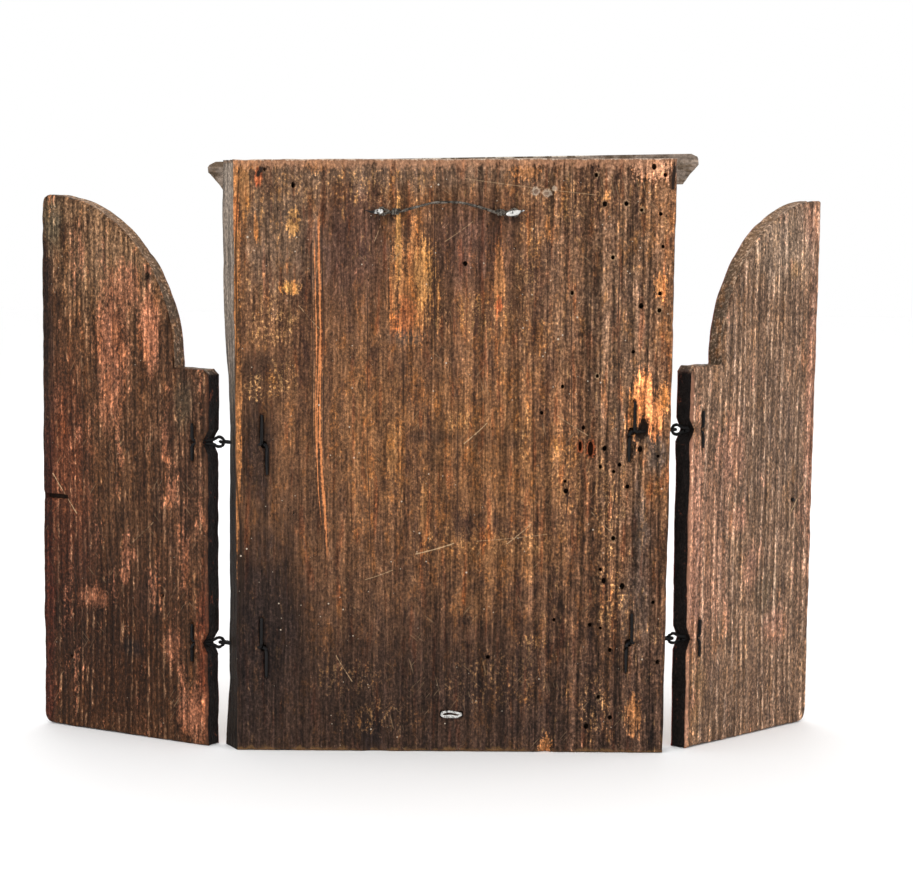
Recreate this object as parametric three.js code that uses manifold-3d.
// Portable triptych: a central board with a cornice and two half-arched wings on wire hinges.
// Millimetres, +Z up. The painted fronts face -Y and the plain backs face +Y.
// The origin is the middle of the central board's underside. The right wing is at +X.
import * as THREE from 'three';
import { mergeVertices } from 'three/addons/utils/BufferGeometryUtils.js';
import Module from 'manifold-3d';

const wasm = await Module();
wasm.setup();

// Central board
const boardHeight = 238;
const boardTopRise = 2; // the sawn top edge climbs towards the left
const boardTopHalf = 90.4;
const boardFootHalf = 88.2;
const boardThickness = 13;
const boardSideBevel = 4.4; // the right side is planed out of square
// The worn front arris of the right side, as [past the sawn edge, share of the height]
const rightArris = [[2, 0], [0.7, 0.13], [-0.4, 0.55], [1.1, 0.7], [1.75, 0.93], [1.2, 1]];
const fieldDepth = 1.2;
const fieldFootMargin = 9;
const fieldMargin = 7;
const spandrelRelief = 3.5;
const spandrelClearance = 1;

// Wings
const wingThickness = 8.6;
const wingPeakDrop = 13; // from the board's height down to the top of the arch
const wingFieldDepth = 1;
const wingFieldMargin = 6;
const wingFieldFootMargin = 8;
const meetingGap = 0.7; // from the closed wing's widest point to the middle
const shoulderRound = 2.5;
const footRound = 5;

// Wire hinges
const hingeReach = 1.3; // from the board's edge at shoulder height out to the hinge line
const shoulderShare = 0.68; // shoulder height as a share of the peak's
const hingeSink = 0.4; // from the board's front out to the hinge line, the gap of a closed wing
const wingEdgeGap = 1.9; // from the hinge line to the wing's edge
const wireRadius = 0.6;
const boardEyeRadius = 1.6;
const wingEyeRadius = 2;
const legSpread = 0.65;
const legBend = 1.5;
const boardLegSlope = 38; // degrees from the board's face
const wingLegSlope = 42;
const boardClench = 12;
const wingClench = 7.5;
const eyeClearance = 0.45;
const drillClearance = 0.35;
const grooveDepth = 0.8;
const mouthDepth = 2.2;
const eyeNeck = 0.9; // from a ring's rim to the start of its legs
const restingClearance = 0.3;
const notchHalfHeight = 4.8;
const notchDepth = 3;
const wornFoot = 20; // the arris is worn from here up to the shoulders

// Cornice
const corniceHeight = 12.4;
const corniceFascia = 3.2;
const coveBow = [0.35, 0.75]; // shares of the cove's overhang and height that pull its curve
const corniceRise = 2; // the middle of its top above the board's height
const corniceTilt = 1.47; // degrees, up towards the left
const corniceShift = -1.2;
const corniceOverhang = 9.2;
const corniceFootOverhang = 2.6;
const corniceFootDepth = 3;
const corniceTopDepth = 10.5;
const pieceGap = 0.3;

// Hanging wire and its nails, on the back near the top
const hangerDrop = 20.3; // from the board's height down to the nails
const hangerNails = [27, -25.5];
const hangerWireRadius = 0.4;
const hangerSag = -4; // the wire bows upwards
const coilTurns = 3;
const coilPitch = 1.05;
const coilToLoop = 1;
const coilLead = 0.55; // straight wire at each end of a coil
const nailRadius = 0.7;
const nailDepth = 7;
const nailHookLength = 5.4;
const nailHookThickness = 1;

// Small remains
const stapleHeight = 15.4;
const stapleMiddle = -2.2;
const stapleLength = 8.8;
const stapleWidth = 2;
const stapleThickness = 0.9;
const stapleProng = 5;
const latchHeight = 97.5;
const latchSlotLength = 15;
const latchSlotHeight = 2.4;
const latchSlotDepth = 2.4;
const latchNailInset = 17.2;
const latchNailRadius = 0.7;
const latchNailLength = 4.6;
const latchNailProud = 0.5;
const flakeMiddle = 27.8;
const flakeWidth = 10;
const flakeHeight = 18;
const flakeDepth = 0.7;
const hollowHalfWidth = 5;
const hollowHalfHeight = 11;
const hollowDepth = 4;
const hollowInset = 12.5;

// Each wing, as it hangs and stands: side is +1 at +X, and open is degrees forward of flat
const wings = [
  { name: 'right', side: 1, open: 32.2, shoulderWidth: 17.5, footWidthLoss: 0.9, cornerRound: 6.5,
    hingeDrop: 30, lowerHinge: 42 },
  { name: 'left', side: -1, open: 46, shoulderWidth: 20.5, footWidthLoss: 4.4, cornerRound: 1.5,
    hingeDrop: 26.5, lowerHinge: 45 },
];

// Places worked out from the sizes
const frontY = -boardThickness / 2;
const backY = boardThickness / 2;
const peakHeight = boardHeight - wingPeakDrop;
const boardHalfAt = (z) => boardFootHalf + (boardTopHalf - boardFootHalf) * z / boardHeight;
const hingeY = frontY - hingeSink;
for (const wing of wings) {
  wing.hingeX = boardHalfAt(peakHeight * shoulderShare) + hingeReach;
  wing.outer = wing.hingeX - meetingGap;
  wing.archRadius = wing.outer - wingEdgeGap - wing.shoulderWidth;
  wing.springing = peakHeight - wing.archRadius;
  wing.hinges = [
    { label: 'upper', z: wing.springing - wing.hingeDrop },
    { label: 'lower', z: wing.lowerHinge },
  ];
}

const toRadians = THREE.MathUtils.degToRad;

// A closed geometry as a solid that can be cut or joined
function solid(geometry) {
  const bare = geometry.clone();
  bare.deleteAttribute('normal');
  bare.deleteAttribute('uv');
  const merged = mergeVertices(bare, 1e-4);
  return new wasm.Manifold(new wasm.Mesh({
    numProp: 3,
    vertProperties: Float32Array.from(merged.attributes.position.array),
    triVerts: Uint32Array.from(merged.index.array),
  }));
}

function geometryOf(body) {
  const { vertProperties, triVerts } = body.getMesh();
  const geometry = new THREE.BufferGeometry();
  geometry.setAttribute('position', new THREE.BufferAttribute(vertProperties, 3));
  geometry.setIndex(new THREE.BufferAttribute(triVerts, 1));
  geometry.computeVertexNormals();
  return geometry;
}

// A slab with the outline of points [x, z], between two depths y
function slab(points, fromY, toY) {
  const corners = points.map(([x, z]) => new THREE.Vector2(x, z));
  const apart = corners.filter((corner, i) => corner.distanceTo(corners.at(i - 1)) > 1e-3);
  const shape = new THREE.Shape(apart);
  const geometry = new THREE.ExtrudeGeometry(shape, { depth: toY - fromY, bevelEnabled: false });
  return geometry.rotateX(Math.PI / 2).translate(0, toY, 0);
}

function block(fromX, toX, fromY, toY, fromZ, toZ) {
  return slab([[fromX, fromZ], [toX, fromZ], [toX, toZ], [fromX, toZ]], fromY, toY);
}

// A square bore through the origin's level at a slope in plan, from one distance to another
function slopedBore(direction, from, to, halfAcross, halfTall, z) {
  const geometry = new THREE.BoxGeometry(to - from, 2 * halfAcross, 2 * halfTall);
  geometry.translate((from + to) / 2, 0, 0).rotateZ(Math.atan2(direction.y, direction.x));
  return geometry.translate(0, 0, z);
}

// A round wire through a list of points, as one closed tube
class WireLine extends THREE.Curve {
  constructor(knots) {
    super();
    this.knots = knots;
  }

  getPoint(t, target = new THREE.Vector3()) {
    const place = t * (this.knots.length - 1);
    const first = Math.min(Math.floor(place), this.knots.length - 2);
    return target.lerpVectors(this.knots[first], this.knots[first + 1], place - first);
  }

  getPointAt(u, target) {
    return this.getPoint(u, target);
  }

  getTangentAt(u, target = new THREE.Vector3()) {
    const step = 0.5 / (this.knots.length - 1);
    const before = this.getPoint(Math.max(u - step, 0));
    return target.copy(this.getPoint(Math.min(u + step, 1))).sub(before).normalize();
  }
}

function wire(knots, radius, sides = 6) {
  const section = new THREE.Shape();
  for (let i = 0; i < sides; i += 1) {
    const angle = 2 * Math.PI * i / sides;
    const corner = [radius * Math.cos(angle), radius * Math.sin(angle)];
    if (i === 0) section.moveTo(...corner);
    else section.lineTo(...corner);
  }
  return new THREE.ExtrudeGeometry(section, {
    steps: knots.length - 1, bevelEnabled: false, extrudePath: new WireLine(knots),
  });
}

// The wing's outline as [u, z], u being the distance from the hinge line; grow moves every edge
// out by that much, footGrow the underside and farGrow the outer edge
function wingOutline(wing, {
  grow = 0, footGrow = grow, farGrow = grow, cornerRound = wing.cornerRound, notched = false,
} = {}) {
  const near = wingEdgeGap - grow;
  const far = wing.outer + farGrow;
  const farFoot = far - wing.footWidthLoss;
  const shoulder = wing.springing + grow;
  const radius = wing.archRadius + grow;
  const corner = Math.max(cornerRound + farGrow, 1);
  const path = new THREE.Path();
  path.moveTo(near, -footGrow);
  path.lineTo(farFoot - footRound, -footGrow);
  path.quadraticCurveTo(farFoot, -footGrow, farFoot, footRound - footGrow);
  path.lineTo(far, wing.springing + radius - corner);
  const start = Math.PI / 2 + (wing.outer - far + corner) / radius;
  path.quadraticCurveTo(far, wing.springing + radius,
    wing.outer + radius * Math.cos(start), wing.springing + radius * Math.sin(start));
  path.absarc(wing.outer, wing.springing, radius, start, Math.PI);
  path.lineTo(near + shoulderRound, shoulder);
  path.lineTo(near, shoulder - shoulderRound);
  if (notched) {
    for (const { z } of wing.hinges) {
      path.lineTo(near, z + notchHalfHeight);
      path.lineTo(near + notchDepth, z);
      path.lineTo(near, z - notchHalfHeight);
    }
  }
  return path.getPoints(8).map(({ x, y }) => [x, y]);
}

// The place of a closed wing's outline on the board's front
const asClosed = (wing, points) => points.map(([u, z]) => [wing.side * (wing.hingeX - u), z]);

// The directions of a board eye's legs, and of a wing eye's legs in its wing's own frame
function boardLegs(wing) {
  const slope = toRadians(boardLegSlope);
  return {
    along: new THREE.Vector3(-wing.side * Math.cos(slope), Math.sin(slope), 0),
    across: new THREE.Vector3(wing.side * Math.sin(slope), Math.cos(slope), 0),
  };
}

function wingLegs(wing) {
  const slope = toRadians(wingLegSlope);
  return {
    along: new THREE.Vector3(wing.side * Math.cos(slope), Math.sin(slope), 0),
    across: new THREE.Vector3(0, 0, 1),
  };
}

// How far along its leg's direction the wire turns to lie on the face at this depth
const turnDistance = (legs, k, faceDepth) =>
  (faceDepth - k * legSpread * legs.across.y) / legs.along.y - legBend;

// Where a clenched leg's middle lies, measured from the hinge line
const clenchDepth = (faceDepth) => faceDepth - grooveDepth + restingClearance + wireRadius;

// An eye on two legs that come out at a face and are clenched up and down on it
function eyeWire(legs, ringRadius, ringCentre, faceDepth, clench) {
  const up = new THREE.Vector3(0, 0, 1);
  const at = (along, across, rise = 0) => new THREE.Vector3()
    .addScaledVector(legs.along, along)
    .addScaledVector(legs.across, across)
    .addScaledVector(up, rise);
  const leg = (k) => {
    const turn = turnDistance(legs, k, clenchDepth(faceDepth));
    const points = [at(ringCentre + ringRadius + eyeNeck, k * legSpread)];
    for (let angle = 0; angle <= 90; angle += 22.5) {
      const bend = toRadians(angle);
      const rise = k * legBend * (1 - Math.cos(bend));
      points.push(at(turn + legBend * Math.sin(bend), k * legSpread, rise));
    }
    points.push(at(turn + legBend, k * legSpread, k * clench - k * legSpread * legs.across.z));
    return points;
  };
  const ring = [];
  for (let angle = 45; angle <= 315; angle += 22.5) {
    const turn = toRadians(angle);
    ring.push(at(ringCentre + ringRadius * Math.cos(turn), ringRadius * Math.sin(turn)));
  }
  return wire([...leg(1).reverse(), ...ring, ...leg(-1)], wireRadius);
}

// The bore, the broken mouth and the two grooves that take an eye's legs
function eyeCuts(legs, faceDepth, clench, z) {
  const reach = wireRadius + drillClearance;
  const acrossHalf = (legs.across.z ? 0 : legSpread) + reach;
  const tallHalf = (legs.across.z ? legSpread : 0) + reach;
  const cuts = [slopedBore(legs.along, 1, faceDepth / legs.along.y + 2, acrossHalf, tallHalf, z)];
  const mouth = faceDepth / legs.along.y - legBend / 2;
  const mouthX = legs.along.x * mouth;
  const mouthHalf = legBend + acrossHalf;
  cuts.push(block(mouthX - mouthHalf, mouthX + mouthHalf, faceDepth - mouthDepth, faceDepth + 2,
    z - tallHalf - legBend, z + tallHalf + legBend));
  for (const k of [1, -1]) {
    const turn = turnDistance(legs, k, clenchDepth(faceDepth)) + legBend;
    const x = legs.along.x * turn + k * legSpread * legs.across.x;
    const end = z + k * (clench + wireRadius + drillClearance);
    cuts.push(block(x - reach, x + reach, faceDepth - grooveDepth, faceDepth + 2,
      Math.min(z, end), Math.max(z, end)));
  }
  return cuts;
}

const cutAll = (body, cuts) => cuts.reduce((left, cut) => left.subtract(solid(cut)), body);

function centralBoard() {
  const rightSide = rightArris.map(([past, share]) => [
    boardHalfAt(share * boardHeight) + past, share * boardHeight,
  ]);
  const topLeft = [-boardTopHalf, boardHeight + boardTopRise];
  const plank = slab([[-boardFootHalf, 0], ...rightSide, topLeft], frontY, backY);
  const corners = plank.attributes.position;
  for (let i = 0; i < corners.count; i += 1) {
    if (corners.getX(i) > 0 && corners.getY(i) > 0) {
      corners.setX(i, boardHalfAt(corners.getZ(i)) - boardSideBevel);
    }
  }

  // The raised front above the closed wings, up to the top edge; both halves meet past the middle
  const pastMiddle = meetingGap + 1;
  const raisedFoot = Math.min(...wings.map((wing) => wing.springing));
  const raised = [
    [-boardHalfAt(raisedFoot), raisedFoot], [boardHalfAt(raisedFoot), raisedFoot],
    ...rightSide.filter(([, z]) => z > raisedFoot), topLeft,
  ];
  let face = solid(slab(raised, frontY - spandrelRelief, frontY + 1));
  for (const wing of wings) {
    const room = asClosed(wing, wingOutline(wing, {
      grow: spandrelClearance, farGrow: pastMiddle, cornerRound: 0,
    }));
    const past = slab(room, frontY - spandrelRelief - 1, frontY);
    face = face.subtract(solid(past));
    const side = wing.side * (boardTopHalf + 2);
    const shoulder = wing.springing + spandrelClearance;
    face = face.subtract(solid(block(Math.min(0, side), Math.max(0, side),
      frontY - spandrelRelief - 1, frontY, raisedFoot - 1, shoulder)));
  }
  let body = solid(plank).add(face);

  // The sunk picture field, a margin inside the closed wings
  for (const wing of wings) {
    const field = asClosed(wing, wingOutline(wing, {
      grow: -fieldMargin, footGrow: -fieldFootMargin, farGrow: pastMiddle, cornerRound: 0,
    }));
    body = body.subtract(solid(slab(field, frontY - spandrelRelief - 1, frontY + fieldDepth)));
  }

  for (const wing of wings) {
    const legs = boardLegs(wing);
    const faceDepth = backY - hingeY;
    for (const { z } of wing.hinges) {
      const cuts = eyeCuts(legs, faceDepth, boardClench, z);
      body = cutAll(body, cuts.map((cut) => cut.translate(wing.side * wing.hingeX, hingeY, 0)));
    }

    // The arris rubbed away beside the hinges, clear of the eyes
    const rubbed = boardEyeRadius + wireRadius + eyeClearance;
    const height = wing.springing - wornFoot;
    const worn = slopedBore(legs.along, -8, rubbed, 8, height / 2, wornFoot + height / 2);
    body = body.subtract(solid(worn.translate(wing.side * wing.hingeX, hingeY, 0)));
  }

  // The worm-eaten hollow at the left upper hinge, and the flake lost from the foot
  const hollow = new THREE.SphereGeometry(1, 10, 7).rotateX(Math.PI / 2)
    .scale(hollowHalfWidth, hollowDepth, hollowHalfHeight)
    .translate(hollowInset - boardHalfAt(wings[1].hinges[0].z), backY, wings[1].hinges[0].z);
  const flake = block(flakeMiddle - flakeWidth / 2, flakeMiddle + flakeWidth / 2,
    backY - flakeDepth, backY + 1, -1, flakeHeight);

  // Holes for the nails and the staple
  const nailZ = boardHeight - hangerDrop;
  const nailHoles = hangerNails.map((x) => {
    const half = nailRadius + drillClearance;
    return block(x - half, x + half, backY - nailDepth - pieceGap, backY + 1, nailZ - half, nailZ + half);
  });
  const prongHoles = [-1, 1].map((k) => {
    const x = stapleMiddle + k * (stapleLength - stapleThickness) / 2;
    const half = stapleThickness / 2 + drillClearance;
    const halfTall = stapleWidth / 2 + drillClearance;
    return block(x - half, x + half, backY - stapleProng - pieceGap, backY + 1,
      stapleHeight - halfTall, stapleHeight + halfTall);
  });
  return geometryOf(cutAll(body, [hollow, flake, ...nailHoles, ...prongHoles]));
}

// A cove under a fascia, as [out, up] from the foot of the moulding
function covedProfile(footOut, topOut) {
  const path = new THREE.Path();
  const cove = corniceHeight - corniceFascia;
  path.moveTo(footOut, 0);
  path.quadraticCurveTo(footOut + (topOut - footOut) * coveBow[0], cove * coveBow[1], topOut, cove);
  path.lineTo(topOut, corniceHeight);
  return path.getPoints(5).map(({ x, y }) => [x, y]);
}

function cornice() {
  const halfTop = boardTopHalf + corniceOverhang;
  const halfFoot = boardTopHalf + corniceFootOverhang;
  const side = covedProfile(halfFoot, halfTop);
  const endToEnd = [...side, ...side.map(([x, z]) => [-x, z]).reverse()];
  const front = covedProfile(corniceFootDepth, corniceTopDepth);
  const run = slab([[0, 0], ...front, [0, corniceHeight]], -halfTop - 1, halfTop + 1)
    .rotateZ(-Math.PI / 2);
  const ends = slab(endToEnd, -corniceTopDepth - 1, 1);
  return geometryOf(solid(run).intersect(solid(ends)))
    .translate(0, 0, -corniceHeight)
    .rotateY(toRadians(corniceTilt))
    .translate(corniceShift, frontY - spandrelRelief - pieceGap, boardHeight + corniceRise);
}

function wingBoard(wing) {
  const across = (points) => points.map(([u, z]) => [wing.side * u, z]);
  const body = solid(slab(across(wingOutline(wing, { notched: true })), 0, wingThickness));
  const field = across(wingOutline(wing, {
    grow: -wingFieldMargin, footGrow: -wingFieldFootMargin,
  }));
  const cuts = [slab(field, -1, wingFieldDepth)];
  for (const { z } of wing.hinges) cuts.push(...eyeCuts(wingLegs(wing), wingThickness, wingClench, z));
  if (wing.side > 0) {
    cuts.push(block(wing.outer - latchSlotLength, wing.outer + 1, wingThickness - latchSlotDepth,
      wingThickness + 1, latchHeight - latchSlotHeight / 2, latchHeight + latchSlotHeight / 2));
  } else {
    const x = -(wing.outer - latchNailInset);
    const half = latchNailRadius + drillClearance;
    cuts.push(block(x - half, x + half, wingThickness - latchNailLength - pieceGap, wingThickness + 1,
      latchHeight - half, latchHeight + half));
  }
  return geometryOf(cutAll(body, cuts));
}

// A nail driven into the back and hammered over towards its own side
function hangerNail(x) {
  const side = Math.sign(x);
  const shankTop = backY + 3 * hangerWireRadius + 2 * pieceGap + coilRadius();
  const tip = nailRadius + nailHookLength;
  const profile = [
    [-nailRadius, backY - nailDepth], [nailRadius, backY - nailDepth], [nailRadius, shankTop],
    [tip, shankTop], [nailRadius, shankTop + nailHookThickness], [-nailRadius, shankTop + nailHookThickness],
  ];
  const shape = new THREE.Shape(profile.map(([px, py]) => new THREE.Vector2(side * px, py)));
  const geometry = new THREE.ExtrudeGeometry(shape, { depth: 2 * nailRadius, bevelEnabled: false });
  return geometry.translate(x, 0, boardHeight - hangerDrop - nailRadius);
}

const coilRadius = () => 2 * hangerWireRadius + pieceGap / 2;

// One wire: a coil round itself, a loop round each nail and a bowed run between them
function hangingWire() {
  const y = backY + coilRadius() + hangerWireRadius + pieceGap;
  const z = boardHeight - hangerDrop;
  const loop = nailRadius + hangerWireRadius + pieceGap;
  const coilLength = coilTurns * coilPitch;
  const half = (side) => {
    const nail = hangerNails[side > 0 ? 0 : 1];
    const coilStart = Math.abs(nail) - 2 * loop - coilToLoop;
    const knots = [];
    for (let i = 0; i <= coilTurns * 7; i += 1) {
      const turn = 2 * Math.PI * i / 7;
      const x = side * (coilStart - coilLength + coilLength * i / (coilTurns * 7));
      knots.push(new THREE.Vector3(x, y - coilRadius() * Math.cos(turn), z + coilRadius() * Math.sin(turn)));
    }
    for (let angle = 150; angle >= -150; angle -= 30) {
      const turn = toRadians(angle);
      knots.push(new THREE.Vector3(nail + side * loop * Math.cos(turn), y, z - loop * Math.sin(turn)));
    }
    knots.push(new THREE.Vector3(side * (coilStart + coilLead), y, z));
    knots.push(new THREE.Vector3(side * (coilStart - coilLength - coilLead), y, z));
    return knots;
  };
  const start = half(1);
  const end = half(-1).reverse();
  const from = start.at(-1);
  const to = end[0];
  const bow = [];
  for (let i = 1; i < 10; i += 1) {
    const place = new THREE.Vector3().lerpVectors(from, to, i / 10);
    place.z -= hangerSag * Math.sin(Math.PI * i / 10);
    bow.push(place);
  }
  return wire([...start, ...bow, ...end], hangerWireRadius);
}

// A flattened staple with both prongs in the wood
function staple() {
  const half = stapleLength / 2;
  const inner = half - stapleThickness;
  const top = backY + pieceGap + stapleThickness;
  const foot = backY - stapleProng;
  const profile = [
    [-half, foot], [-inner, foot], [-inner, top - stapleThickness], [inner, top - stapleThickness],
    [inner, foot], [half, foot], [half, top], [-half, top],
  ];
  const shape = new THREE.Shape(profile.map(([x, y]) => new THREE.Vector2(x, y)));
  const geometry = new THREE.ExtrudeGeometry(shape, { depth: stapleWidth, bevelEnabled: false });
  return geometry.translate(stapleMiddle, 0, stapleHeight - stapleWidth / 2);
}

function latchNail(wing) {
  return new THREE.CylinderGeometry(latchNailRadius, latchNailRadius, latchNailLength + latchNailProud, 8)
    .translate(-(wing.outer - latchNailInset), wingThickness + (latchNailProud - latchNailLength) / 2,
      latchHeight);
}

const wood = (color) => new THREE.MeshStandardMaterial({ color, roughness: 0.85, metalness: 0 });
const iron = (color) => new THREE.MeshStandardMaterial({ color, roughness: 0.55, metalness: 0.8 });
const boardWood = wood(0x4a3426);
const wingWood = wood(0x5a4133);
const corniceWood = wood(0x6b5f50);
const darkIron = iron(0x1d1a19);
const brightIron = iron(0x9a9a98);

function piece(name, geometry, material) {
  const mesh = new THREE.Mesh(geometry, material);
  mesh.name = name;
  return mesh;
}

const triptych = new THREE.Group();
triptych.add(piece('central_board', centralBoard(), boardWood));
triptych.add(piece('cornice', cornice(), corniceWood));
triptych.add(piece('hanging_wire', hangingWire(), darkIron));
triptych.add(piece('hanger_nail_right', hangerNail(hangerNails[0]), brightIron));
triptych.add(piece('hanger_nail_left', hangerNail(hangerNails[1]), brightIron));
triptych.add(piece('lower_staple', staple(), brightIron));

for (const wing of wings) {
  const leaf = new THREE.Group();
  leaf.position.set(wing.side * wing.hingeX, hingeY, 0);
  leaf.rotation.z = -wing.side * toRadians(wing.open);
  leaf.add(piece(`${wing.name}_wing`, wingBoard(wing), wingWood));
  for (const { label, z } of wing.hinges) {
    const boardEye = eyeWire(boardLegs(wing), boardEyeRadius, 0, backY - hingeY, boardClench);
    const boardEyePiece = piece(`${wing.name}_board_eye_${label}`, boardEye, darkIron);
    boardEyePiece.position.set(wing.side * wing.hingeX, hingeY, z);
    triptych.add(boardEyePiece);
    const wingEye = eyeWire(wingLegs(wing), wingEyeRadius, wingEyeRadius, wingThickness, wingClench);
    const wingEyePiece = piece(`${wing.name}_wing_eye_${label}`, wingEye, darkIron);
    wingEyePiece.position.z = z;
    leaf.add(wingEyePiece);
  }
  if (wing.side < 0) leaf.add(piece('latch_nail', latchNail(wing), darkIron));
  triptych.add(leaf);
}

export default triptych;
